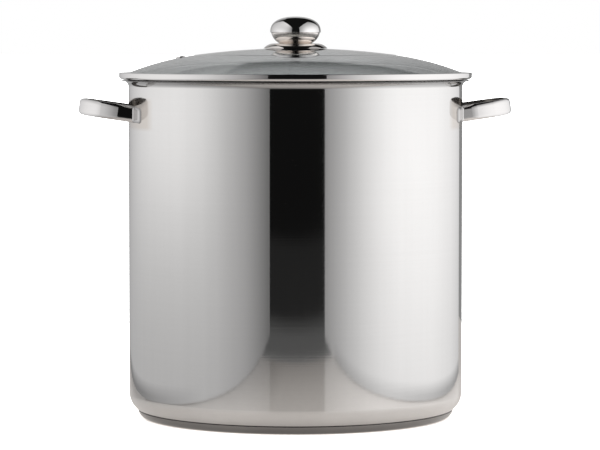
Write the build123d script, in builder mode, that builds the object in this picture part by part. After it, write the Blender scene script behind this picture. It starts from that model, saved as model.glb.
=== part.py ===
"""Stainless steel stock pot with two strap handles and a glass lid.

Millimetres, +Z up. The origin is the centre of the underside of the base. The handles lie along
X, and the lid's steam vent is on the -X side. Every piece is its own solid.
"""

import os
from math import asin, cos, degrees, isclose, radians, sin, sqrt

from build123d import *

os.makedirs("parts", exist_ok=True)

# ---------------------------------------------------------------- pot: driving dimensions
POT_RADIUS = 170.0  # outside of the straight wall
POT_HEIGHT = 343.3  # top of the lip above the table
SHEET = 1.0  # wall of the drawn shell
SHELL_FLOOR = 5.0  # underside of the shell, above the bonded base
CORNER_RADIUS = 20.0  # outside radius between floor and wall
LIP_RADIUS = 6.2  # outside radius of the flared pouring lip
LIP_EDGE = 0.3  # flat run of the lip before its rounded edge

CAP_SHEET = 0.8  # stainless cap under the base
CAP_FLAT_RADIUS = 152.0  # flat that stands on the table
CAP_CORNER = 9.5
CAP_SWEEP = 80.0  # degrees of corner before the open seam
CORE_EDGE_RADIUS = 159.8  # outer end of the aluminium core

# ---------------------------------------------------------------- handles
STRAP_WIDTH = 16.5  # height of the half-oval strap
STRAP_THICKNESS = 4.4
STRAP_ROUND = 4.2  # rounding of the strap's outer long edges
HANDLE_TILT = 8.3  # degrees the loop rises outward
HANDLE_Z = 310.1  # middle of the strap where it meets the wall
HANDLE_HALF_SPAN = 45.8  # outer face of each leg from the loop's axis
LEG_START = -30.0  # leg's inner end from the wall's crown, inside the wall, which trims it away
LEG_JOIN = 3.0  # where the tilted loop takes over from the upright feet
LEG_END = 5.5  # where the straight leg turns into the bow
BOW = ((49.0, 7.0), (128.0, 8.0), (24.9, 55.0), (77.5, 20.0))  # radius, degrees of arcs to the tip
FOOT_THICKNESS = 2.2  # the strap is flattened where it is welded on
FOOT_ANGLE = 21.4  # where the foot ends, round the wall from the loop's axis
FOOT_BEND = 1.2  # outside bend between leg and foot
HEEL_BEND = 3.0  # inside bend where the leg turns onto the wall
FOOT_TIP = 4.6  # rounding of the foot's outer end
FOOT_DEPTH = 10.0  # how far the foot's block reaches into the wall before it is trimmed

# ---------------------------------------------------------------- lid glass and rim
LID_GAP = 0.8  # free gap between the lip and the lid's rim
GLASS = 4.0
GLASS_TOP = 375.5  # crown of the dome
CROWN_RADIUS = 766.0  # dome radius in the middle of the lid
CROWN_ANGLE = 7.5
SHOULDER_RADIUS = 293.0  # tighter dome radius towards the rim
GLASS_RADIUS = 175.3
CENTRE_HOLE = 5.0
VENT_X = -117.0
VENT_HOLE = 3.1

RIM_SHEET = 0.7
RIM_RADIUS = 179.6
RIM_HEIGHT = 6.8
RIM_INNER = 171.5  # inner end of the flange on the glass
RIM_TOP_ROUND = 0.9
RIM_FOOT_ROUND = 3.0
SKIRT_RADIUS = 167.6  # outside of the skirt that centres the lid
SKIRT_DEPTH = 7.5
SKIRT_BEND = 0.8
SEALANT_INNER = 172.0

EYELET_BORE = 2.5
EYELET_WALL = 0.45
EYELET_FLANGE = 5.0
VENT_CLEAR = 0.06  # flat flange over curved glass
VENT_RING_RADIUS = 5.8
VENT_RING = 0.6

# ---------------------------------------------------------------- knob and its screw stack
KNOB_SHEET = 0.8
KNOB_RADIUS = 25.7
KNOB_EQUATOR = 392.7
KNOB_TOP = 407.6
KNOB_FULLNESS = 0.64  # handle length of the dome's curve, 0.552 would be an ellipse
KNOB_FOOT = 380.3  # underside of the ball, on top of the base plate
KNOB_FOOT_RADIUS = 16.4
CUP_LIP_RADIUS = 24.85
CUP_LIP_Z = 392.3
CRIMP_Z = 391.3  # lower edge of the top shell, rolled over the cup
CRIMP_ROUND = 0.6
CUP_LIP_PULL = (0.2, 4.0)  # how the cup's curve leaves its lip, in and down
CUP_FOOT_PULL = (3.0, 2.9)  # and where it aims above its foot: in from the lip, up from the foot

PLATE_SHEET = 0.8
PLATE_FLAT = 22.0  # flat middle of the domed base plate
PLATE_ARC = 13.5
PLATE_EDGE_Z = 375.2

SCREW_RADIUS = 2.45
SCREW_HEAD = 4.8
SCREW_HEAD_HEIGHT = 3.0
SCREW_TIP_Z = 389.8
BORE = 2.8  # clearance hole through washers and seals
THREAD_BORE = 2.5
BOSS_RADIUS = 6.5
BOSS_FLANGE = 10.0
BOSS_FLANGE_HEIGHT = 1.2
BOSS_TOP_Z = 390.8
SEAT_RADIUS = 14.0
SEAT_Z = 375.7  # underside of the upper seal's flange
SLEEVE_RADIUS = 4.8
SLEEVE_Z = 371.6
LOWER_SEAL_RADIUS = 12.5
LOWER_SEAL_Z = 371.2
LOWER_SEAL = 1.5
WASHER_RADIUS = 11.0
WASHER = 1.2
SPRING_RADIUS = 4.5
SPRING = 1.3
SPRING_CUT = 25.0  # slant of the gap in the split spring washer, degrees

CLOSE = 0.2  # tolerance when an edge is picked by its place


def degrees_for(run, radius):
    """Angle of an arc of this radius whose sine side is run."""
    return degrees(asin(run / radius))


def arc_z(radius, centre_r, centre_z, at_r):
    """Height of the lower half of a circle at a given distance from the axis."""
    return centre_z - sqrt(radius**2 - (at_r - centre_r) ** 2)


# ================================================================ pot body
inner_lip = LIP_RADIUS + SHEET
corner_r = POT_RADIUS - CORNER_RADIUS
lip_z = POT_HEIGHT - inner_lip
corner_z = SHELL_FLOOR + CORNER_RADIUS

with BuildPart() as pot_shell:
    with BuildSketch(Plane.XZ):
        with BuildLine():
            under = Line((0, SHELL_FLOOR), (corner_r, SHELL_FLOOR))
            corner = JernArc(under @ 1, under % 1, CORNER_RADIUS, 90)
            wall = Line(corner @ 1, (POT_RADIUS, lip_z))
            flare = JernArc(wall @ 1, wall % 1, LIP_RADIUS, -90)
            edge = Line(flare @ 1, flare @ 1 + (LIP_EDGE, 0))
            tip = JernArc(edge @ 1, edge % 1, SHEET / 2, 180)
            top = Line(tip @ 1, tip @ 1 - (LIP_EDGE, 0))
            mouth = JernArc(top @ 1, top % 1, inner_lip, 90)
            inside = Line(mouth @ 1, (POT_RADIUS - SHEET, corner_z))
            inner_corner = JernArc(inside @ 1, inside % 1, CORNER_RADIUS - SHEET, -90)
            floor = Line(inner_corner @ 1, (0, SHELL_FLOOR + SHEET))
            Line(floor @ 1, under @ 0)
        make_face()
    revolve(axis=Axis.Z)
pot_shell.part.label = "pot_shell"
export_step(pot_shell.part, "parts/pot_shell.step")

# The cap is a shallow pan under the pot; its open edge stops short of the corner, as a seam.
with BuildPart() as base_cap:
    with BuildSketch(Plane.XZ):
        with BuildLine():
            stand = Line((0, 0), (CAP_FLAT_RADIUS, 0))
            rise = JernArc(stand @ 1, stand % 1, CAP_CORNER, CAP_SWEEP)
            pan = Line((0, CAP_SHEET), (CAP_FLAT_RADIUS, CAP_SHEET))
            inner_rise = JernArc(pan @ 1, pan % 1, CAP_CORNER - CAP_SHEET, CAP_SWEEP)
            Line(rise @ 1, inner_rise @ 1)
            Line(stand @ 0, pan @ 0)
        make_face()
    revolve(axis=Axis.Z)
base_cap.part.label = "base_cap"
export_step(base_cap.part, "parts/base_cap.step")

# The aluminium core fills the pan up to the shell's floor and corner.
core_rise = degrees_for(CORE_EDGE_RADIUS - CAP_FLAT_RADIUS, CAP_CORNER - CAP_SHEET)
core_top = arc_z(CORNER_RADIUS, corner_r, corner_z, CORE_EDGE_RADIUS)
with BuildPart() as base_core:
    with BuildSketch(Plane.XZ):
        with BuildLine():
            bed = Line((0, CAP_SHEET), (CAP_FLAT_RADIUS, CAP_SHEET))
            bed_rise = JernArc(bed @ 1, bed % 1, CAP_CORNER - CAP_SHEET, core_rise)
            end = Line(bed_rise @ 1, (CORE_EDGE_RADIUS, core_top))
            roof = Line((0, SHELL_FLOOR), (corner_r, SHELL_FLOOR))
            RadiusArc(roof @ 1, end @ 1, -CORNER_RADIUS)
            Line(bed @ 0, roof @ 0)
        make_face()
    revolve(axis=Axis.Z)
base_core.part.label = "base_core"
export_step(base_core.part, "parts/base_core.step")

# ================================================================ handles
tilt = radians(HANDLE_TILT)
strap_plane = Plane(
    origin=(POT_RADIUS, 0, HANDLE_Z),
    x_dir=(cos(tilt), 0, sin(tilt)),
    z_dir=(-sin(tilt), 0, cos(tilt)),
)
strap_under = strap_plane.offset(-STRAP_WIDTH / 2)


def half_bow(inset):
    """One side of the loop's outline, from inside the wall to the tip, drawn inset mm inward."""
    y = -(HANDLE_HALF_SPAN - inset)
    run = Line((LEG_START, y), (LEG_END, y))
    for radius, sweep in BOW:
        run = JernArc(run @ 1, run % 1, radius - inset, sweep)


foot_radius = POT_RADIUS + FOOT_THICKNESS
foot_end = radians(FOOT_ANGLE)
leg_on_foot_x = sqrt(foot_radius**2 - HANDLE_HALF_SPAN**2)
foot_tip = (foot_radius * cos(foot_end), -foot_radius * sin(foot_end))
foot_mid = radians((FOOT_ANGLE + degrees_for(HANDLE_HALF_SPAN, foot_radius)) / 2)
foot_inner = POT_RADIUS - FOOT_DEPTH
foot_back = foot_inner * cos(foot_end)

# A foot is upright and hugs the wall. It starts as a block that still fills the loop's inside.
with BuildPart() as foot_block:
    with BuildSketch(Plane.XY.offset(HANDLE_Z - 2 * STRAP_WIDTH)) as foot_plan:
        with BuildLine():
            join = (POT_RADIUS + LEG_JOIN, -HANDLE_HALF_SPAN)
            leg_line = Line(join, (leg_on_foot_x, -HANDLE_HALF_SPAN))
            face_arc = ThreePointArc(
                leg_line @ 1, (foot_radius * cos(foot_mid), -foot_radius * sin(foot_mid)), foot_tip
            )
            end_line = Line(face_arc @ 1, (foot_back, -foot_inner * sin(foot_end)))
            axis_line = Line(end_line @ 1, (foot_back, 0))
            axis_run = Line(axis_line @ 1, (POT_RADIUS + LEG_JOIN, 0))
            Line(axis_run @ 1, leg_line @ 0)
        make_face()
        bend_corner = foot_plan.vertices().sort_by_distance(leg_line @ 1)[0]
        fillet(bend_corner, FOOT_BEND)
        tip_corner = foot_plan.vertices().sort_by_distance(foot_tip)[0]
        fillet(tip_corner, FOOT_TIP)
    extrude(amount=4 * STRAP_WIDTH)
    mirror(about=Plane.XZ)
    with BuildSketch(strap_under):
        Rectangle(6 * STRAP_WIDTH, 4 * HANDLE_HALF_SPAN)
    extrude(amount=STRAP_WIDTH, mode=Mode.INTERSECT)

with BuildPart() as right_handle:
    with BuildSketch(strap_under):
        with BuildLine():
            half_bow(0)
            mirror(about=Plane.XZ)
            Line((LEG_START, -HANDLE_HALF_SPAN), (LEG_START, HANDLE_HALF_SPAN))
        make_face()
    extrude(amount=STRAP_WIDTH)
    add(foot_block.part)
    strap_axis = Axis(strap_plane.origin, strap_plane.z_dir)
    faces_by_height = right_handle.faces().sort_by(strap_axis)
    long_edges = faces_by_height[-1].edges() + faces_by_height[0].edges()
    outer_edges = long_edges.filter_by(lambda e: e.center().X > foot_back + STRAP_THICKNESS)
    fillet(outer_edges, STRAP_ROUND)
    with BuildSketch(strap_plane.offset(-STRAP_WIDTH)):
        with BuildLine():
            half_bow(STRAP_THICKNESS)
            mirror(about=Plane.XZ)
            Line(
                (LEG_START, -(HANDLE_HALF_SPAN - STRAP_THICKNESS)),
                (LEG_START, HANDLE_HALF_SPAN - STRAP_THICKNESS),
            )
        make_face()
    extrude(amount=2 * STRAP_WIDTH, mode=Mode.SUBTRACT)
    with Locations((0, 0, HANDLE_Z)):
        Cylinder(POT_RADIUS, 6 * STRAP_WIDTH, mode=Mode.SUBTRACT)
    heel_y = HANDLE_HALF_SPAN - STRAP_THICKNESS
    heels = right_handle.edges().filter_by(
        lambda e: isclose(abs(e.center().Y), heel_y, abs_tol=CLOSE)
    )
    fillet(heels.group_by(Axis.X)[0], HEEL_BEND)
right_handle.part.label = "right_handle"
export_step(right_handle.part, "parts/right_handle.step")

with BuildPart() as left_handle:
    mirror(right_handle.part, about=Plane.YZ)
left_handle.part.label = "left_handle"
export_step(left_handle.part, "parts/left_handle.step")

# ================================================================ lid glass and rim
rim_z = POT_HEIGHT + LID_GAP
rim_top = rim_z + RIM_HEIGHT
crown = radians(CROWN_ANGLE)
shoulder_r = (CROWN_RADIUS - SHOULDER_RADIUS) * sin(crown)
shoulder_sweep = degrees_for(GLASS_RADIUS - shoulder_r, SHOULDER_RADIUS) - CROWN_ANGLE
vent_tilt = radians(degrees_for(-VENT_X - shoulder_r, SHOULDER_RADIUS))
shoulder_z = GLASS_TOP - (CROWN_RADIUS - SHOULDER_RADIUS) * (1 - cos(crown)) - SHOULDER_RADIUS
vent_z = shoulder_z + SHOULDER_RADIUS * cos(vent_tilt)
vent_plane = Plane(
    origin=(VENT_X, 0, vent_z),
    x_dir=(cos(vent_tilt), 0, sin(vent_tilt)),
    z_dir=(-sin(vent_tilt), 0, cos(vent_tilt)),
)
vent_section = Plane(origin=vent_plane.origin, x_dir=vent_plane.x_dir, z_dir=(0, -1, 0))
vent_axis = Axis(vent_plane.origin, vent_plane.z_dir)

with BuildPart() as lid_glass:
    with BuildSketch(Plane.XZ):
        with BuildLine():
            faces = []
            for depth in (0, GLASS):
                dome = JernArc((0, GLASS_TOP - depth), (1, 0), CROWN_RADIUS - depth, -CROWN_ANGLE)
                faces.append(dome)
                faces.append(JernArc(dome @ 1, dome % 1, SHOULDER_RADIUS - depth, -shoulder_sweep))
            Line(faces[0] @ 0, faces[2] @ 0)
            Line(faces[1] @ 1, faces[3] @ 1)
        make_face()
    revolve(axis=Axis.Z)
    with Locations((0, 0, GLASS_TOP)):
        Cylinder(CENTRE_HOLE, 4 * GLASS, mode=Mode.SUBTRACT)
    with Locations(vent_plane):
        Cylinder(VENT_HOLE, 4 * GLASS, mode=Mode.SUBTRACT)
lid_glass.part.label = "lid_glass"
export_step(lid_glass.part, "parts/lid_glass.step")

# Rolled band: a flange on the glass, the outer face, a foot on the lip and a skirt in the mouth.
band_wall = RIM_RADIUS - RIM_SHEET
skirt_inner = SKIRT_RADIUS - RIM_SHEET
skirt_end = rim_z - SKIRT_DEPTH
with BuildPart() as lid_rim:
    with BuildSketch(Plane.XZ):
        with BuildLine():
            flange = Line((RIM_INNER, rim_top), (RIM_RADIUS - RIM_TOP_ROUND, rim_top))
            shoulder = JernArc(flange @ 1, flange % 1, RIM_TOP_ROUND, -90)
            face = Line(shoulder @ 1, (RIM_RADIUS, rim_z + RIM_FOOT_ROUND))
            heel = JernArc(face @ 1, face % 1, RIM_FOOT_ROUND, -90)
            sole = Line(heel @ 1, (SKIRT_RADIUS + SKIRT_BEND, rim_z))
            turn = JernArc(sole @ 1, sole % 1, SKIRT_BEND, 90)
            drop = Line(turn @ 1, (SKIRT_RADIUS, skirt_end))
            hem = JernArc(drop @ 1, drop % 1, RIM_SHEET / 2, -180)
            back = Line(hem @ 1, (skirt_inner, rim_z - SKIRT_BEND))
            inner_turn = JernArc(back @ 1, back % 1, SKIRT_BEND + RIM_SHEET, -90)
            tray = Line(inner_turn @ 1, (RIM_RADIUS - RIM_FOOT_ROUND, rim_z + RIM_SHEET))
            inner_heel = JernArc(tray @ 1, tray % 1, RIM_FOOT_ROUND - RIM_SHEET, 90)
            inner_face = Line(inner_heel @ 1, (band_wall, rim_top - RIM_TOP_ROUND))
            inner_top = JernArc(inner_face @ 1, inner_face % 1, RIM_TOP_ROUND - RIM_SHEET, 90)
            soffit = Line(inner_top @ 1, (RIM_INNER, rim_top - RIM_SHEET))
            Line(soffit @ 1, flange @ 0)
        make_face()
    revolve(axis=Axis.Z)
lid_rim.part.label = "lid_rim"
export_step(lid_rim.part, "parts/lid_rim.step")

# The sealant fills the band's channel all round the edge of the glass.
with BuildPart() as rim_sealant:
    with BuildSketch(Plane.XZ) as channel:
        with BuildLine():
            Polyline(
                (SEALANT_INNER, rim_z + RIM_SHEET),
                (band_wall, rim_z + RIM_SHEET),
                (band_wall, rim_top - RIM_SHEET),
                (SEALANT_INNER, rim_top - RIM_SHEET),
                close=True,
            )
        make_face()
        outer_corner = channel.vertices().sort_by_distance((band_wall, rim_z))[0]
        fillet(outer_corner, RIM_FOOT_ROUND - RIM_SHEET)
    revolve(axis=Axis.Z)
    add(lid_glass.part, mode=Mode.SUBTRACT)
    add(lid_rim.part, mode=Mode.SUBTRACT)
rim_sealant.part.label = "rim_sealant"
export_step(rim_sealant.part, "parts/rim_sealant.step")

# Steam vent: an eyelet flared over a ring under the glass.
barrel = EYELET_BORE + EYELET_WALL
ring_top = -GLASS - VENT_CLEAR
flare_top = ring_top - VENT_RING
with BuildPart() as vent_eyelet:
    with BuildSketch(vent_section):
        with BuildLine():
            bore = Line((EYELET_BORE, flare_top - EYELET_WALL), (EYELET_BORE, EYELET_WALL))
            roll = ThreePointArc(
                bore @ 1,
                ((EYELET_BORE + EYELET_FLANGE) / 2, 3 * EYELET_WALL),
                (EYELET_FLANGE, VENT_CLEAR),
            )
            Polyline(
                roll @ 1,
                (barrel, VENT_CLEAR),
                (barrel, flare_top),
                (EYELET_FLANGE, flare_top),
                (EYELET_FLANGE, flare_top - EYELET_WALL),
                bore @ 0,
            )
        make_face()
    revolve(axis=vent_axis)
vent_eyelet.part.label = "vent_eyelet"
export_step(vent_eyelet.part, "parts/vent_eyelet.step")

with BuildPart() as vent_ring:
    with BuildSketch(vent_plane.offset(flare_top)):
        Circle(VENT_RING_RADIUS)
        Circle(VENT_HOLE, mode=Mode.SUBTRACT)
    extrude(amount=VENT_RING)
vent_ring.part.label = "vent_ring"
export_step(vent_ring.part, "parts/vent_ring.step")


# ================================================================ knob
def dome_outline(radius, base_z, top_z):
    """Half outline of the knob's upper shell, flat at the top and upright at the equator."""
    return Bezier(
        (0, top_z),
        (KNOB_FULLNESS * radius, top_z),
        (radius, base_z + KNOB_FULLNESS * (top_z - base_z)),
        (radius, base_z),
    )


def cup_outline(inset):
    """Half outline of the knob's lower shell, from its lip down to its flat foot."""
    lip = CUP_LIP_RADIUS - inset
    foot = KNOB_FOOT + inset
    return Bezier(
        (lip, CUP_LIP_Z),
        (lip - CUP_LIP_PULL[0], CUP_LIP_Z - CUP_LIP_PULL[1]),
        (lip - CUP_FOOT_PULL[0], foot + CUP_FOOT_PULL[1]),
        (KNOB_FOOT_RADIUS - inset / 2, foot),
    )


with BuildPart() as knob_top_shell:
    with BuildSketch(Plane.XZ):
        with BuildLine():
            outside = dome_outline(KNOB_RADIUS, KNOB_EQUATOR, KNOB_TOP)
            side = Line(outside @ 1, (KNOB_RADIUS, CRIMP_Z + CRIMP_ROUND))
            crimp = JernArc(side @ 1, side % 1, CRIMP_ROUND, -90)
            lip = Line(crimp @ 1, (KNOB_RADIUS - KNOB_SHEET, CRIMP_Z))
            inner_side = Line(lip @ 1, (KNOB_RADIUS - KNOB_SHEET, KNOB_EQUATOR))
            cavity = dome_outline(KNOB_RADIUS - KNOB_SHEET, KNOB_EQUATOR, KNOB_TOP - KNOB_SHEET)
            Line(outside @ 0, cavity @ 0)
        make_face()
    revolve(axis=Axis.Z)
knob_top_shell.part.label = "knob_top_shell"
export_step(knob_top_shell.part, "parts/knob_top_shell.step")

with BuildPart() as knob_lower_cup:
    with BuildSketch(Plane.XZ):
        with BuildLine():
            outer_cup = cup_outline(0)
            inner_cup = cup_outline(KNOB_SHEET)
            Line(outer_cup @ 0, inner_cup @ 0)
            Polyline(
                outer_cup @ 1,
                (BORE, KNOB_FOOT),
                (BORE, KNOB_FOOT + KNOB_SHEET),
                inner_cup @ 1,
            )
        make_face()
    revolve(axis=Axis.Z)
knob_lower_cup.part.label = "knob_lower_cup"
export_step(knob_lower_cup.part, "parts/knob_lower_cup.step")

boss_z = KNOB_FOOT + KNOB_SHEET
with BuildPart() as knob_boss:
    with BuildSketch(Plane.XY.offset(boss_z)):
        Circle(BOSS_FLANGE)
    extrude(amount=BOSS_FLANGE_HEIGHT)
    with BuildSketch(Plane.XY.offset(boss_z)):
        RegularPolygon(BOSS_RADIUS, 6)
    extrude(amount=BOSS_TOP_Z - boss_z)
    with BuildSketch(Plane.XY.offset(boss_z)):
        Circle(THREAD_BORE)
    extrude(amount=BOSS_TOP_Z - boss_z, mode=Mode.SUBTRACT)
knob_boss.part.label = "knob_boss"
export_step(knob_boss.part, "parts/knob_boss.step")

plate_centre_z = KNOB_FOOT - PLATE_ARC
plate_outer = PLATE_FLAT + sqrt(PLATE_ARC**2 - (PLATE_EDGE_Z - plate_centre_z) ** 2)
plate_inner_arc = PLATE_ARC - PLATE_SHEET
plate_inner = PLATE_FLAT + sqrt(plate_inner_arc**2 - (PLATE_EDGE_Z - plate_centre_z) ** 2)
with BuildPart() as knob_plate:
    with BuildSketch(Plane.XZ):
        with BuildLine():
            deck = Line((BORE, KNOB_FOOT), (PLATE_FLAT, KNOB_FOOT))
            bulge = RadiusArc(deck @ 1, (plate_outer, PLATE_EDGE_Z), PLATE_ARC)
            rest = Line(bulge @ 1, (plate_inner, PLATE_EDGE_Z))
            hollow = RadiusArc(rest @ 1, (PLATE_FLAT, KNOB_FOOT - PLATE_SHEET), -plate_inner_arc)
            ceiling = Line(hollow @ 1, (BORE, KNOB_FOOT - PLATE_SHEET))
            Line(ceiling @ 1, deck @ 0)
        make_face()
    revolve(axis=Axis.Z)
knob_plate.part.label = "knob_plate"
export_step(knob_plate.part, "parts/knob_plate.step")

# Upper seal: a flange under the plate and a sleeve through the hole in the glass.
seat_top = KNOB_FOOT - PLATE_SHEET
with BuildPart() as upper_seal:
    with BuildSketch(Plane.XY.offset(SEAT_Z)):
        Circle(SEAT_RADIUS)
        Circle(BORE, mode=Mode.SUBTRACT)
    extrude(amount=seat_top - SEAT_Z)
    with BuildSketch(Plane.XY.offset(SLEEVE_Z)):
        Circle(SLEEVE_RADIUS)
        Circle(BORE, mode=Mode.SUBTRACT)
    extrude(amount=SEAT_Z - SLEEVE_Z)
upper_seal.part.label = "upper_seal"
export_step(upper_seal.part, "parts/upper_seal.step")

lower_seal_z = LOWER_SEAL_Z - LOWER_SEAL
with BuildPart() as lower_seal:
    with BuildSketch(Plane.XY.offset(lower_seal_z)):
        Circle(LOWER_SEAL_RADIUS)
        Circle(BORE, mode=Mode.SUBTRACT)
    extrude(amount=LOWER_SEAL)
    fillet(lower_seal.edges().group_by(Axis.Z)[0].sort_by(SortBy.RADIUS)[-1], LOWER_SEAL / 3)
lower_seal.part.label = "lower_seal"
export_step(lower_seal.part, "parts/lower_seal.step")

washer_z = lower_seal_z - WASHER
with BuildPart() as under_washer:
    with BuildSketch(Plane.XY.offset(washer_z)):
        Circle(WASHER_RADIUS)
        Circle(BORE, mode=Mode.SUBTRACT)
    extrude(amount=WASHER)
    fillet(under_washer.edges().group_by(Axis.Z)[0].sort_by(SortBy.RADIUS)[-1], WASHER / 3)
under_washer.part.label = "under_washer"
export_step(under_washer.part, "parts/under_washer.step")

spring_z = washer_z - SPRING
with BuildPart() as spring_washer:
    with BuildSketch(Plane.XY.offset(spring_z)):
        Circle(SPRING_RADIUS)
        Circle(BORE, mode=Mode.SUBTRACT)
    extrude(amount=SPRING)
    with BuildSketch(Plane.XY.offset(spring_z).rotated((0, SPRING_CUT, 0))):
        with Locations((SPRING_RADIUS, 0)):
            Rectangle(2 * SPRING_RADIUS, SPRING / 2)
    extrude(amount=2 * SPRING, both=True, mode=Mode.SUBTRACT)
spring_washer.part.label = "spring_washer"
export_step(spring_washer.part, "parts/spring_washer.step")

head_z = spring_z - SCREW_HEAD_HEIGHT
with BuildPart() as knob_screw:
    with BuildSketch(Plane.XY.offset(head_z)):
        Circle(SCREW_HEAD)
    extrude(amount=SCREW_HEAD_HEIGHT)
    fillet(knob_screw.edges().group_by(Axis.Z)[0], SCREW_HEAD_HEIGHT / 2)
    with BuildSketch(Plane.XY.offset(spring_z)):
        Circle(SCREW_RADIUS)
    extrude(amount=SCREW_TIP_Z - spring_z)
    chamfer(knob_screw.edges().group_by(Axis.Z)[-1], SCREW_RADIUS / 4)
    with BuildSketch(Plane.XY.offset(head_z)):
        Rectangle(SCREW_HEAD, SCREW_HEAD / 5)
        Rectangle(SCREW_HEAD / 5, SCREW_HEAD)
    extrude(amount=SCREW_HEAD_HEIGHT / 2, mode=Mode.SUBTRACT)
knob_screw.part.label = "knob_screw"
export_step(knob_screw.part, "parts/knob_screw.step")
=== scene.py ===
"""Looks of a polished steel stock pot with a glass lid: materials, studio and camera.

Metres, +Z up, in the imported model's own frame. The pot stands on z = 0, its handles lie along X,
and the camera looks along +Y, a few degrees off square.
"""

from collections import namedtuple
from math import cos, radians, sin

import bpy
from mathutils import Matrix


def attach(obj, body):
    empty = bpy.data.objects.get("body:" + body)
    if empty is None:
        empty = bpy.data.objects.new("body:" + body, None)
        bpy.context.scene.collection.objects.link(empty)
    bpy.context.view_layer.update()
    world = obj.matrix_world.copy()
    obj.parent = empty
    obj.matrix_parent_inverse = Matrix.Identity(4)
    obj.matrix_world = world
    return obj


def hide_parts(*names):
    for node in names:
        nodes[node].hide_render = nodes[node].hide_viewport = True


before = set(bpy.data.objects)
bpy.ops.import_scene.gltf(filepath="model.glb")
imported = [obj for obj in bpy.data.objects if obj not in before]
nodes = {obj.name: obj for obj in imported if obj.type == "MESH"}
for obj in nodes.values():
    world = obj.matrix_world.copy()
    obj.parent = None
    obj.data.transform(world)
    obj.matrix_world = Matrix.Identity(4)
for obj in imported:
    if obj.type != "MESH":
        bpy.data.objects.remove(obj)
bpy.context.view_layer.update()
scene = bpy.context.scene

# ---------------------------------------------------------------- camera
# The camera's place and lens come from a fit to the outlines of the pot as it is pictured.
CAMERA_BACK = 3.1134  # from the pot's axis
CAMERA_HEIGHT = 0.3878
CAMERA_PITCH = 3.540  # degrees down
CAMERA_YAW = 0.084  # degrees to the right
CAMERA_REACH = 200.0
STUDIO_TURN = -3.9  # degrees; the pot's handles don't stand quite square to the camera
LENS_MM = 183.26
SENSOR_MM = 36.0

# ---------------------------------------------------------------- zones of the steel
LIP_SHADE_FROM = 0.3366  # the flared lip's colour is darker than the wall's, and darkest at its tip: painted shade
LIP_SHADE_FADE = 0.002
LIP_PAINTED_SHADE = 0.66
LIP_TIP = 0.3426
LIP_TIP_FADE = 0.0005
LIP_TIP_SHADE = 0.3
WELD_Z = 0.310  # round the handles' welds the wall is duller, and its colour is darkened and warmed there: painted shade
WELD_REACH = 0.017
WELD_REACH_FADE = 0.004
WELD_SIDE = 0.147
WELD_SIDE_FADE = 0.006
WELD_PAINTED_SHADE_TINT = (0.90, 0.85, 0.80)
WELD_ROUGHNESS = 0.07
WELD_FROM = 0.1705  # radius where the duller, darkened zone round a handle's welds starts to fade; the darkening is painted shade
WELD_FROM_FADE = 0.003
WELD_PAINTED_SHADE = 0.5
STRAP_INSIDE_SHADE = 0.35

# ---------------------------------------------------------------- studio
CARD_LEFT_X = -0.325  # the two upright diffusers stand on the table beside the pot
CARD_RIGHT_X = 0.355
CARD_LEFT_ENDS = (-1.122, 0.5)  # front and back ends, along Y
CARD_RIGHT_ENDS = (-1.072, 0.35)
CARD_TOP = 1.10
CARD_DROP = -0.45  # in front of the table the diffusers hang lower than its top
CARD_GAP = 0.0008  # thin gap between a diffuser's foot and the table
CARD_COLOUR = (1.0, 0.993, 1.0)
CARD_HEM = 0.006  # the duller strip along a diffuser's foot starts to fade here
CARD_HEM_TOP = 0.021
CARD_HEM_FRONT = -0.25  # the strip gets duller from here
CARD_HEM_BACK = 0.08  # to here
CARD_TAPE = 0.035  # width of the brighter strip down a diffuser's front end
CARD_TAPE_GAIN = 1.45
CARD_FAR_SHARE = 0.8  # brightness at the far end
WALL_MIRRORS = 0.65  # share of light that the wall mirrors, which the diffusers make up for
TABLE_FRONT_Y = -0.84
TABLE_EDGE_FADE = 0.1
TABLE_GLOW_COLOUR = (1.0, 0.945, 0.90)
SHEET_REACH = 1.6  # half the width of the table, the room's floor and the backdrop
BACKDROP_Y = 1.0
BACKDROP_FOOT = -0.3
BACKDROP_TOP = 0.95
BACKDROP_RAISED_TOP = 1.25  # at the left, past the slanting step between the next two
BACKDROP_STEP = (-0.12, -0.25)
FLOOR_REACH = 40.0
FLOOR_BACK = 60.0
FLOOR_Z = -0.0002
TABLE_Z = -0.0001
ROOM_FRONT_Y = -3.0
ROOM_DARK = 0.007  # what the steel sees where nothing else is
BOUNCE_RADIUS = 0.155
BOUNCE_Z = 0.33
BOUNCE_CORNERS = 48
SKY_ENERGY = 12.0
SKY_ANGLE = 120  # degrees


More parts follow.
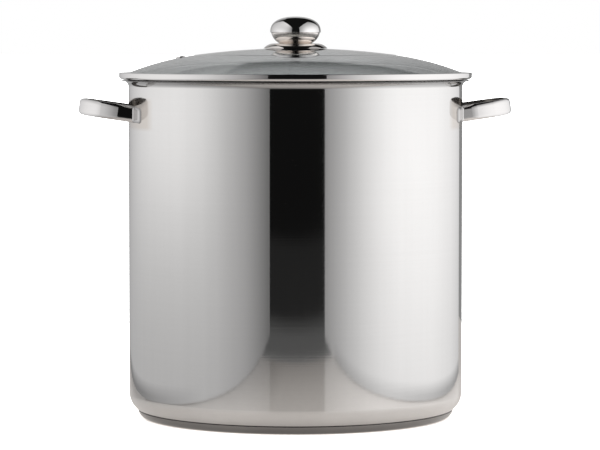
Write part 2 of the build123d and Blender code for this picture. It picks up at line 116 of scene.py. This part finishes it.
# ================================================================ node helpers
class Graph:
    """A small wrapper that adds nodes to one node tree."""

    def __init__(self, tree):
        self.tree = tree
        self.coordinates = None

    def add(self, kind, inputs=None, **settings):
        node = self.tree.nodes.new(kind)
        for name, value in settings.items():
            setattr(node, name, value)
        for name, value in (inputs or {}).items():
            self.put(node.inputs[name], value)
        return node

    def put(self, socket, value):
        """Links a socket to a socket, or sets it to a value."""
        if isinstance(value, bpy.types.NodeSocket):
            self.tree.links.new(value, socket)
        else:
            socket.default_value = value

    def math(self, operation, *values):
        node = self.add("ShaderNodeMath", operation=operation)
        for socket, value in zip(node.inputs, values):
            self.put(socket, value)
        return node.outputs[0]

    def total(self, *shares):
        """Adds up values, each times its share."""
        whole = None
        for value, share in shares:
            part = self.math("MULTIPLY", value, share)
            whole = part if whole is None else self.math("ADD", whole, part)
        return whole

    def shaded(self, colour, shade):
        """A colour times a number."""
        inputs = {"Vector": colour, "Scale": shade}
        return self.add("ShaderNodeVectorMath", inputs, operation="SCALE").outputs["Vector"]

    def position(self):
        if self.coordinates is None:
            self.coordinates = self.add("ShaderNodeTexCoord")
        return self.coordinates.outputs["Object"]

    def axes(self):
        split = self.add("ShaderNodeSeparateXYZ", {"Vector": self.position()})
        return split.outputs["X"], split.outputs["Y"], split.outputs["Z"]

    def from_axis(self):
        """Distance from the object's Z axis."""
        flat = self.stretched((1.0, 1.0, 0.0))
        return self.add("ShaderNodeVectorMath", {"Vector": flat}, operation="LENGTH").outputs["Value"]

    def stretched(self, scale):
        """Object coordinates scaled along each axis, for grain that runs one way."""
        mapping = self.add("ShaderNodeMapping", {"Vector": self.position(), "Scale": scale})
        return mapping.outputs["Vector"]

    def noise(self, scale, stretch=(1, 1, 1), detail=3.0, roughness=0.5):
        node = self.add(
            "ShaderNodeTexNoise",
            {"Vector": self.stretched(stretch), "Scale": scale, "Detail": detail, "Roughness": roughness},
        )
        return node.outputs["Fac"]

    def ramp(self, value, *stops):
        """A colour ramp; each stop is (place, colour)."""
        node = self.add("ShaderNodeValToRGB", {"Fac": value})
        elements = node.color_ramp.elements
        while len(elements) < len(stops):
            elements.new(0.5)
        for element, (place, colour) in zip(elements, stops):
            element.position = place
            element.color = (*colour, 1.0)
        return node.outputs["Color"]

    def span(self, value, low, high, start=0.0, end=1.0):
        """Maps start..end of a value to low..high, clamped."""
        node = self.add(
            "ShaderNodeMapRange",
            {"Value": value, "From Min": start, "From Max": end, "To Min": low, "To Max": high},
        )
        return node.outputs["Result"]

    def bump(self, height, depth, under=None):
        """Bump of a given depth in metres, laid over another normal if there is one."""
        inputs = {"Height": height, "Distance": depth}
        if under is not None:
            inputs["Normal"] = under
        return self.add("ShaderNodeBump", inputs).outputs["Normal"]


def new_material(name):
    """A material with its Principled shader, and the graph to build on."""
    material = bpy.data.materials.new(name)
    material.use_nodes = True
    return material, Graph(material.node_tree), material.node_tree.nodes["Principled BSDF"]


def new_metal(name):
    material, graph, shader = new_material(name)
    shader.inputs["Metallic"].default_value = 1.0
    return material, graph, shader


def dress(material, *names):
    """Gives CAD nodes a material in place of the one they were packed with."""
    for name in names:
        mesh = nodes[name].data
        mesh.materials.clear()
        mesh.materials.append(material)


# ================================================================ materials
def polished_steel(name, dark, light, rough):
    """Stainless steel polished to a mirror, with fine lines round it and faint wipe marks."""
    material, graph, shader = new_metal(name)
    wipe = graph.noise(9.0, (1, 1, 0.4), detail=5.0)
    lines = graph.noise(60.0, (0.25, 0.25, 40.0), detail=4.0, roughness=0.6)
    tone = graph.total((wipe, 0.6), (lines, 0.4))
    graph.put(shader.inputs["Base Color"], graph.ramp(tone, (0.3, dark), (0.7, light)))
    graph.put(shader.inputs["Roughness"], graph.span(tone, *rough, 0.3, 0.7))
    return material


def wall_near_welds(graph, x, z):
    """1 round the handles' welds on the wall, 0 elsewhere."""
    beside = graph.span(graph.math("ABSOLUTE", x), 0.0, 1.0, WELD_SIDE, WELD_SIDE + WELD_SIDE_FADE)
    off_weld = graph.math("ABSOLUTE", graph.math("SUBTRACT", z, WELD_Z))
    level = graph.span(off_weld, 1.0, 0.0, WELD_REACH - WELD_REACH_FADE, WELD_REACH)
    return graph.math("MULTIPLY", beside, level)


def wall_polish(name, dark, light):
    """The drawn wall: mirror polished, with faint upright streaks; up on its lip, and most at the lip's
    tip, its colour is darkened, which is painted shade.
    """
    material, graph, shader = new_metal(name)
    streaks = graph.noise(45.0, (1, 1, 0.02), detail=4.0, roughness=0.6)
    smudge = graph.noise(7.0, (1, 1, 0.6), detail=4.0, roughness=0.55)
    rings = graph.noise(30.0, (0.1, 0.1, 30.0), detail=3.0)
    tone = graph.total((streaks, 0.45), (smudge, 0.4), (rings, 0.15))
    x, _, z = graph.axes()
    # painted shade: the lip's colour is darkened, and darkened more at its tip
    painted_lip_shade = graph.span(z, 1.0, LIP_PAINTED_SHADE, LIP_SHADE_FROM, LIP_SHADE_FROM + LIP_SHADE_FADE)
    painted_tip_shade = graph.span(z, 1.0, LIP_TIP_SHADE, LIP_TIP - LIP_TIP_FADE, LIP_TIP)
    polish = graph.ramp(tone, (0.35, dark), (0.65, light))
    near_welds = wall_near_welds(graph, x, z)
    # painted shade: the wall's colour is darkened and warmed round the handles' welds
    tinted = graph.add("ShaderNodeMix", {"Factor": near_welds}, data_type="RGBA", blend_type="MULTIPLY")
    graph.put(tinted.inputs["A"], graph.shaded(graph.shaded(polish, painted_lip_shade), painted_tip_shade))
    graph.put(tinted.inputs["B"], (*WELD_PAINTED_SHADE_TINT, 1.0))
    graph.put(shader.inputs["Base Color"], tinted.outputs["Result"])
    gloss = graph.span(tone, 0.035, 0.07, 0.35, 0.65)
    graph.put(shader.inputs["Roughness"], graph.math("MULTIPLY_ADD", near_welds, WELD_ROUGHNESS, gloss))
    waves = graph.noise(22.0, (1, 1, 0.05), detail=2.0)
    ripple = graph.bump(rings, 0.000004)
    graph.put(shader.inputs["Normal"], graph.bump(waves, 0.00002, under=ripple))
    return material


def strap_polish(name, dark, light):
    """Handle strap: mirror polished outside; on its inside face and near its welded feet it is rougher,
    and its colour is darkened there, which is painted shade.
    """
    material, graph, shader = new_metal(name)
    wipe = graph.noise(12.0, (1, 1, 0.4), detail=5.0)
    lines = graph.noise(90.0, (0.3, 0.3, 20.0), detail=3.0)
    tone = graph.total((wipe, 0.6), (lines, 0.4))
    x, y, _ = graph.axes()
    normal = graph.add("ShaderNodeSeparateXYZ", {"Vector": graph.coordinates.outputs["Normal"]})
    inward_x = graph.math("MULTIPLY", graph.math("SIGN", x), normal.outputs["X"])
    inward_y = graph.math("MULTIPLY", graph.math("SIGN", y), normal.outputs["Y"])
    inward = graph.math("MINIMUM", inward_x, inward_y)
    # painted shade: the strap's colour is darkened on its inside face and by its welded feet
    inside = graph.span(inward, STRAP_INSIDE_SHADE, 1.0, -0.5, -0.1)
    near_welds = graph.span(graph.from_axis(), WELD_PAINTED_SHADE, 1.0, WELD_FROM, WELD_FROM + WELD_FROM_FADE)
    shade = graph.math("MULTIPLY", inside, near_welds)
    polish = graph.ramp(tone, (0.3, dark), (0.7, light))
    graph.put(shader.inputs["Base Color"], graph.shaded(polish, shade))
    graph.put(shader.inputs["Roughness"], graph.span(shade, 0.22, 0.045, 0.3, 1.0))
    return material


def clear_glass(name):
    """Tempered glass with a faint green cast, and thin smears on it."""
    material, graph, shader = new_material(name)
    smear = graph.noise(14.0, (1, 1, 1), detail=6.0, roughness=0.6)
    tint = graph.ramp(smear, (0.3, (0.945, 0.97, 0.97)), (0.7, (0.96, 0.98, 0.98)))
    graph.put(shader.inputs["Base Color"], tint)
    graph.put(shader.inputs["Roughness"], graph.span(smear, 0.0, 0.008, 0.5, 0.8))
    shader.inputs["Transmission Weight"].default_value = 1.0
    shader.inputs["IOR"].default_value = 1.5
    return material


def silicone(name, dark, light):
    """Matt rubber with a fine grain."""
    material, graph, shader = new_material(name)
    grain = graph.noise(400.0, detail=4.0)
    graph.put(shader.inputs["Base Color"], graph.ramp(grain, (0.3, dark), (0.7, light)))
    graph.put(shader.inputs["Roughness"], graph.span(grain, 0.5, 0.7))
    graph.put(shader.inputs["Normal"], graph.bump(grain, 0.00005))
    return material


wall_steel = wall_polish("wall_steel", (0.625, 0.62, 0.61), (0.665, 0.66, 0.65))
bright_steel = polished_steel("bright_steel", (0.64, 0.63, 0.62), (0.70, 0.69, 0.68), (0.03, 0.06))
strap_steel = strap_polish("strap_steel", (0.64, 0.63, 0.62), (0.70, 0.69, 0.68))
# painted light: the knob's steel is a lighter copy of the polished steel
knob_steel = polished_steel("knob_steel", (0.78, 0.77, 0.76), (0.84, 0.83, 0.82), (0.03, 0.06))
# painted light and a painted reflection of the warm table: the cup and plate steel is a lighter, warmer
# copy of the polished steel
lit_warm_cup_steel = polished_steel("lit_warm_cup_steel", (0.84, 0.80, 0.765), (0.90, 0.865, 0.83), (0.08, 0.12))
# painted shade: the base pan's steel is a much darker copy of the polished steel, for the shade near the
# floor
base_steel = polished_steel("base_steel", (0.21, 0.205, 0.20), (0.27, 0.265, 0.26), (0.12, 0.2))
plain_steel = polished_steel("plain_steel", (0.45, 0.45, 0.44), (0.55, 0.55, 0.54), (0.2, 0.3))
aluminium = polished_steel("aluminium", (0.70, 0.71, 0.72), (0.78, 0.79, 0.80), (0.3, 0.4))
glass = clear_glass("tempered_glass")
grey_silicone = silicone("grey_silicone", (0.20, 0.20, 0.195), (0.26, 0.26, 0.255))
black_silicone = silicone("black_silicone", (0.012, 0.012, 0.012), (0.02, 0.02, 0.02))

dress(strap_steel, "right_handle", "left_handle")
dress(knob_steel, "knob_top_shell")
dress(lit_warm_cup_steel, "knob_lower_cup", "knob_plate")
dress(bright_steel, "vent_eyelet", "vent_ring")
dress(aluminium, "base_core")
dress(plain_steel, "knob_boss", "knob_screw", "under_washer", "spring_washer")
dress(glass, "lid_glass")
dress(grey_silicone, "rim_sealant")
dress(black_silicone, "upper_seal", "lower_seal")


# ================================================================ turned sheet metal
# The thin turned pieces are mirrors, so they are spun again here with exact normals, to the CAD's
# own sections. These sizes repeat the CAD's, in millimetres.
BEND_STEP = 4.0  # degrees of a bend between two rings
SPOKES = 360
POT_RADIUS = 170.0
POT_HEIGHT = 343.3
POT_SHEET = 1.0
POT_CORNER = 20.0
POT_FLOOR = 5.0
LIP_BEND = 6.2
LIP_EDGE = 0.3  # flat run before the lip's rounded edge
CAP_FLAT = 152.0
CAP_CORNER = 9.5
CAP_SWEEP = 80.0
CAP_SHEET = 0.8
RIM_RADIUS = 179.6
RIM_FOOT = 344.1
RIM_TOP = 350.9
RIM_SHEET = 0.7
RIM_INNER = 171.5
RIM_TOP_BEND = 0.9
RIM_FOOT_BEND = 3.0
SKIRT_RADIUS = 167.6
SKIRT_BEND = 0.8
SKIRT_END = 336.6


class Section:
    """The section of a turned piece, drawn anticlockwise as straight runs and bends.

    Each stretch keeps the heading of the surface at both of its ends, which gives exact normals.
    """

    def __init__(self, r, z):
        self.r, self.z, self.heading = r, z, 0.0
        self.stretches = []

    def reach(self, r, z, heading):
        self.stretches.append(((self.r, self.z, self.heading), (r, z, heading)))
        self.r, self.z, self.heading = r, z, heading

    def run(self, length):
        along = radians(self.heading)
        self.reach(self.r + length * cos(along), self.z + length * sin(along), self.heading)

    def run_to_r(self, r):
        self.reach(r, self.z, self.heading)

    def run_to_z(self, z):
        self.reach(self.r, z, self.heading)

    def bend(self, radius, sweep):
        """Turns left for a positive sweep, right for a negative one."""
        side = radius if sweep > 0 else -radius
        centre_r = self.r - side * sin(radians(self.heading))
        centre_z = self.z + side * cos(radians(self.heading))
        start = self.heading
        steps = max(2, round(abs(sweep) / BEND_STEP))
        for step in range(1, steps + 1):
            heading = start + sweep * step / steps
            turned = radians(heading)
            self.reach(centre_r + side * sin(turned), centre_z - side * cos(turned), heading)

    def corner(self, angle):
        self.heading += angle


def spin(name, section, body, node, material):
    """The piece that a section makes when it is turned about Z; it stands for a CAD node."""
    vertices, faces, normals, rings = [], [], [], {}

    def ring(r, z):
        """First vertex of the ring through this place; on the axis it is a single point."""
        place = (round(r, 4), round(z, 4))
        if place not in rings:
            rings[place] = len(vertices)
            for spoke in range(SPOKES if r > 0 else 1):
                angle = radians(360 * spoke / SPOKES)
                vertices.append((r * cos(angle) / 1000, r * sin(angle) / 1000, z / 1000))
        return rings[place]

    for (r0, z0, heading0), (r1, z1, heading1) in section.stretches:
        first, second = ring(r0, z0), ring(r1, z1)
        for spoke in range(SPOKES):
            turned = (spoke + 1) % SPOKES
            corners = [(r0, first, heading0, spoke), (r0, first, heading0, turned)]
            corners += [(r1, second, heading1, turned), (r1, second, heading1, spoke)]
            if r0 == 0:
                corners = corners[1:]
            if r1 == 0:
                corners = corners[:3]
            faces.append([start + (at if r > 0 else 0) for r, start, _, at in corners])
            for _, _, heading, at in corners:
                out, angle = sin(radians(heading)), radians(360 * at / SPOKES)
                normals.append((out * cos(angle), out * sin(angle), -cos(radians(heading))))
    mesh = bpy.data.meshes.new(name)
    mesh.from_pydata(vertices, [], faces)
    mesh.shade_smooth()
    mesh.normals_split_custom_set(normals)
    mesh.materials.append(material)
    piece = bpy.data.objects.new(name, mesh)
    scene.collection.objects.link(piece)
    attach(piece, body)
    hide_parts(node)


def shell_section():
    """Floor, corner, wall and flared lip outside, then back down the inside."""
    section = Section(0.0, POT_FLOOR)
    section.run_to_r(POT_RADIUS - POT_CORNER)
    section.bend(POT_CORNER, 90)
    section.run_to_z(POT_HEIGHT - POT_SHEET - LIP_BEND)
    section.bend(LIP_BEND, -90)
    section.run(LIP_EDGE)
    section.bend(POT_SHEET / 2, 180)
    section.run(LIP_EDGE)
    section.bend(LIP_BEND + POT_SHEET, 90)
    section.run_to_z(POT_FLOOR + POT_CORNER)
    section.bend(POT_CORNER - POT_SHEET, -90)
    section.run_to_r(0.0)
    return section


def cap_section():
    """The pan under the pot, open at the seam."""
    section = Section(0.0, 0.0)
    section.run_to_r(CAP_FLAT)
    section.bend(CAP_CORNER, CAP_SWEEP)
    section.corner(90)
    section.run(CAP_SHEET)
    section.corner(90)
    section.bend(CAP_CORNER - CAP_SHEET, -CAP_SWEEP)
    section.run_to_r(0.0)
    return section


def rim_section():
    """Sole, outer face and flange of the lid's band, then back along its inside and the skirt."""
    section = Section(SKIRT_RADIUS + SKIRT_BEND, RIM_FOOT)
    section.run_to_r(RIM_RADIUS - RIM_FOOT_BEND)
    section.bend(RIM_FOOT_BEND, 90)
    section.run_to_z(RIM_TOP - RIM_TOP_BEND)
    section.bend(RIM_TOP_BEND, 90)
    section.run_to_r(RIM_INNER)
    section.corner(90)
    section.run(RIM_SHEET)
    section.corner(90)
    section.run_to_r(RIM_RADIUS - RIM_TOP_BEND)
    section.bend(RIM_TOP_BEND - RIM_SHEET, -90)
    section.run_to_z(RIM_FOOT + RIM_FOOT_BEND)
    section.bend(RIM_FOOT_BEND - RIM_SHEET, -90)
    section.run_to_r(SKIRT_RADIUS + SKIRT_BEND)
    section.bend(SKIRT_BEND + RIM_SHEET, 90)
    section.run_to_z(SKIRT_END)
    section.bend(RIM_SHEET / 2, 180)
    section.run_to_z(RIM_FOOT - SKIRT_BEND)
    section.bend(SKIRT_BEND, -90)
    return section


spin("pot_body", shell_section(), "pot", "pot_shell", wall_steel)
spin("base_pan", cap_section(), "pot", "base_cap", base_steel)
spin("lid_band", rim_section(), "lid", "lid_rim", bright_steel)


# ================================================================ studio
# Everything here stands square to the camera, so it hangs on one turned empty.
turn = bpy.data.objects.new("studio_turn", None)
turn.rotation_euler = (0.0, 0.0, radians(STUDIO_TURN))
scene.collection.objects.link(turn)


def plane(name, corners, material):
    """A flat face of the studio, which is not part of the pot."""
    mesh = bpy.data.meshes.new(name)
    mesh.from_pydata(corners, [], [tuple(range(len(corners)))])
    mesh.materials.append(material)
    thing = bpy.data.objects.new(name, mesh)
    thing.parent = turn
    scene.collection.objects.link(thing)
    return thing


def only_reflected(thing):
    """The thing lights and is mirrored by the pot, but the camera looks past it."""
    thing.visible_camera = False
    thing.visible_shadow = False
    return thing


def glow(name, graph_to_strength, colour=(1.0, 1.0, 1.0)):
    """A material that only shines; graph_to_strength works out how brightly at each place."""
    material = bpy.data.materials.new(name)
    material.use_nodes = True
    tree = material.node_tree
    tree.nodes.clear()
    graph = Graph(tree)
    emission = graph.add("ShaderNodeEmission", {"Strength": graph_to_strength(graph)})
    emission.inputs["Color"].default_value = (*colour, 1.0)
    output = graph.add("ShaderNodeOutputMaterial")
    graph.put(output.inputs["Surface"], emission.outputs["Emission"])
    return material


Spot = namedtuple("Spot", "power, y, front, back, z, height, falloff")


def lamp_spot(graph, y, z, spot):
    """One lamp's patch of light on a diffuser, with its own width in front of it and behind it."""
    off = graph.math("SUBTRACT", y, spot.y)
    width = graph.span(graph.math("LESS_THAN", off, 0.0), spot.back, spot.front)
    along = graph.math("DIVIDE", off, width)
    up = graph.math("DIVIDE", graph.math("SUBTRACT", z, spot.z), spot.height)
    spread = graph.math("ADD", graph.math("MULTIPLY", along, along), graph.math("MULTIPLY", up, up))
    fade = graph.math("POWER", graph.math("ADD", spread, 1.0), -spot.falloff)
    return graph.math("MULTIPLY", spot.power, fade)


def diffuser_glow(spots, ends, base, back_hem, front_hem):
    """Brightness of a diffuser lit from behind by two lamps, duller in a strip along its foot."""
    front, back = ends

    def strength(graph):
        _, y, z = graph.axes()
        shine = base
        for spot in spots:
            shine = graph.math("ADD", shine, lamp_spot(graph, y, z, spot))
        taped_edge = graph.span(y, CARD_TAPE_GAIN, 1.0, front, front + CARD_TAPE)
        far_end = graph.span(y, 1.0, CARD_FAR_SHARE, 0.0, back)
        shine = graph.math("MULTIPLY", graph.math("MULTIPLY", shine, taped_edge), far_end)
        hem = graph.span(y, front_hem, back_hem, CARD_HEM_FRONT, CARD_HEM_BACK)
        above_hem = graph.span(z, 0.0, 1.0, CARD_HEM, CARD_HEM_TOP)
        off_table = graph.span(y, 1.0, 0.0, TABLE_FRONT_Y, TABLE_FRONT_Y + TABLE_EDGE_FADE)
        lit = graph.math("MAXIMUM", above_hem, off_table)
        dull = graph.math("ADD", hem, graph.math("MULTIPLY", graph.math("SUBTRACT", 1.0, hem), lit))
        return graph.math("MULTIPLY", graph.math("MULTIPLY", shine, dull), 1 / WALL_MIRRORS)

    return strength


def diffuser(name, x, ends, strength):
    """An upright sheet on the table that reaches past the table's front edge, and hangs lower there."""
    front, back = ends
    corners = [
        (x, front, CARD_DROP),
        (x, TABLE_FRONT_Y, CARD_DROP),
        (x, TABLE_FRONT_Y, CARD_GAP),
        (x, back, CARD_GAP),
        (x, back, CARD_TOP),
        (x, front, CARD_TOP),
    ]
    return only_reflected(plane(name, corners, glow(name, strength, CARD_COLOUR)))


# The spots, and the right one's base, are a least-squares fit to the wall's brightness in the picture.
LEFT_SPOTS = (
    Spot(power=0.722, y=-0.186, front=0.538, back=1.5, z=2.5, height=3.0, falloff=1.113),
    Spot(power=0.318, y=-0.111, front=0.434, back=0.582, z=0.309, height=0.301, falloff=4.0),
)
RIGHT_SPOTS = (
    Spot(power=0.329, y=-0.148, front=0.62, back=1.5, z=0.353, height=0.527, falloff=4.0),
    Spot(power=0.626, y=-0.127, front=0.369, back=0.521, z=0.078, height=0.487, falloff=0.6),
)
left_glow = diffuser_glow(LEFT_SPOTS, CARD_LEFT_ENDS, base=0.0, back_hem=0.5, front_hem=1.0)
right_glow = diffuser_glow(RIGHT_SPOTS, CARD_RIGHT_ENDS, base=0.067, back_hem=0.55, front_hem=0.8)
diffuser("left_diffuser", CARD_LEFT_X, CARD_LEFT_ENDS, left_glow)
diffuser("right_diffuser", CARD_RIGHT_X, CARD_RIGHT_ENDS, right_glow)


def sheet(name, front, back, z, material, reach=SHEET_REACH):
    """A level sheet across the studio."""
    corners = [(-reach, front, z), (reach, front, z), (reach, back, z), (-reach, back, z)]
    return plane(name, corners, material)


def backdrop_strength(graph):
    """Pale grey, darker higher up, and darker still out at the right."""
    x, _, z = graph.axes()
    height = graph.span(z, 0.6, 0.49, 0.36, 0.5)
    raised_end = graph.span(z, 1.0, 0.5, BACKDROP_TOP - 0.02, BACKDROP_TOP + 0.02)
    right = graph.span(x, 1.0, 0.5, 0.1, 0.4)
    left = graph.span(x, 0.75, 1.0, -0.4, -0.15)
    sides = graph.math("MULTIPLY", left, right)
    return graph.math("MULTIPLY", graph.math("MULTIPLY", height, raised_end), sides)


backdrop_outline = (
    (-SHEET_REACH, BACKDROP_FOOT),
    (SHEET_REACH, BACKDROP_FOOT),
    (SHEET_REACH, BACKDROP_TOP),
    (BACKDROP_STEP[0], BACKDROP_TOP),
    (BACKDROP_STEP[1], BACKDROP_RAISED_TOP),
    (-SHEET_REACH, BACKDROP_RAISED_TOP),
)
backdrop_corners = [(x, BACKDROP_Y, z) for x, z in backdrop_outline]
only_reflected(plane("backdrop", backdrop_corners, glow("backdrop", backdrop_strength)))


def grained(graph, shader, dark, light):
    """Base colour of a matt sheet with a soft, uneven tone."""
    grain = graph.noise(30.0, detail=2.0)
    graph.put(shader.inputs["Base Color"], graph.ramp(grain, (0.3, dark), (0.7, light)))


def floor_paper():
    """Almost white, and dead matt."""
    material, graph, shader = new_material("floor")
    grained(graph, shader, (0.89, 0.89, 0.89), (0.91, 0.91, 0.91))
    shader.inputs["Roughness"].default_value = 0.9
    shader.inputs["Specular IOR Level"].default_value = 0.0
    return material


def table_top():
    """Warm and pale; it also glows, more towards the back and the right, which is painted light."""
    material, graph, shader = new_material("table")
    grained(graph, shader, (0.74, 0.70, 0.67), (0.78, 0.74, 0.71))
    shader.inputs["Roughness"].default_value = 0.22
    shader.inputs["Emission Color"].default_value = (*TABLE_GLOW_COLOUR, 1.0)
    x, y, _ = graph.axes()
    # painted light: the table's glow stands in for light falling on it
    lift = graph.span(y, 0.14, 0.36, TABLE_FRONT_Y, -0.28)
    side = graph.span(x, 0.42, 1.0, -0.3, -0.08)
    graph.put(shader.inputs["Emission Strength"], graph.math("MULTIPLY", lift, side))
    return material


# The camera sees the floor, and the steel mirrors the table and the dark room.
floor = sheet("floor", -FLOOR_REACH, FLOOR_BACK, FLOOR_Z, floor_paper(), FLOOR_REACH)
floor.visible_glossy = False
only_reflected(sheet("table", TABLE_FRONT_Y, BACKDROP_Y, TABLE_Z, table_top()))


def room_strength(graph):
    """The dark room in front of the table, a little lighter near it."""
    y = graph.axes()[1]
    near = graph.span(y, 0.0, 0.09, -1.45, -1.15)
    edge = graph.span(y, 0.0, 0.08, -0.95, TABLE_FRONT_Y)
    return graph.math("ADD", graph.math("ADD", near, edge), 0.022)


room_glow = glow("room_floor", room_strength)
only_reflected(sheet("room_floor", ROOM_FRONT_Y, TABLE_FRONT_Y, TABLE_Z, room_glow))


def bounce_strength(graph):
    """Shines downward only, most in the middle."""
    soft = graph.span(graph.from_axis(), 1.4, 0.9, 0.0, BOUNCE_RADIUS)
    facing = graph.add("ShaderNodeNewGeometry").outputs["Backfacing"]
    return graph.math("MULTIPLY", soft, graph.math("SUBTRACT", 1.0, facing))


# A bright ceiling would show in the knob, so one just inside the mouth lights the pot's inside alone.
bounce_corners = []
for corner in range(BOUNCE_CORNERS):
    angle = radians(-360 * corner / BOUNCE_CORNERS)
    bounce_corners.append((BOUNCE_RADIUS * cos(angle), BOUNCE_RADIUS * sin(angle), BOUNCE_Z))
bounce = only_reflected(plane("inside_bounce", bounce_corners, glow("inside_bounce", bounce_strength)))
bounce.visible_transmission = False

# The sky lights the floor alone.
sky = bpy.data.lights.new("sky", "SUN")
sky.energy = SKY_ENERGY
sky.angle = radians(SKY_ANGLE)
sky_lamp = bpy.data.objects.new("sky", sky)
scene.collection.objects.link(sky_lamp)
lit_by_sky = bpy.data.collections.new("lit_by_sky")
scene.collection.children.link(lit_by_sky)
lit_by_sky.objects.link(floor)
sky_lamp.light_linking.receiver_collection = lit_by_sky
sky_lamp.visible_glossy = False

# The world is white to the camera and almost black to the steel.
world = bpy.data.worlds.new("studio")
scene.world = world
world.use_nodes = True
world_graph = Graph(world.node_tree)
seen = world_graph.add("ShaderNodeLightPath")
world_light = world_graph.span(seen.outputs["Is Camera Ray"], ROOM_DARK, 1.0)
background = world.node_tree.nodes["Background"]
background.inputs["Color"].default_value = (1.0, 1.0, 1.0, 1.0)
world_graph.put(background.inputs["Strength"], world_light)

camera_data = bpy.data.cameras.new("camera")
camera_data.lens = LENS_MM
camera_data.sensor_width = SENSOR_MM
camera_data.clip_end = CAMERA_REACH
camera = bpy.data.objects.new("camera", camera_data)
turned = radians(STUDIO_TURN)
camera.location = (CAMERA_BACK * sin(turned), -CAMERA_BACK * cos(turned), CAMERA_HEIGHT)
camera.rotation_euler = (radians(90 - CAMERA_PITCH), 0.0, radians(STUDIO_TURN - CAMERA_YAW))
scene.collection.objects.link(camera)
scene.camera = camera
scene.view_settings.view_transform = "Standard"
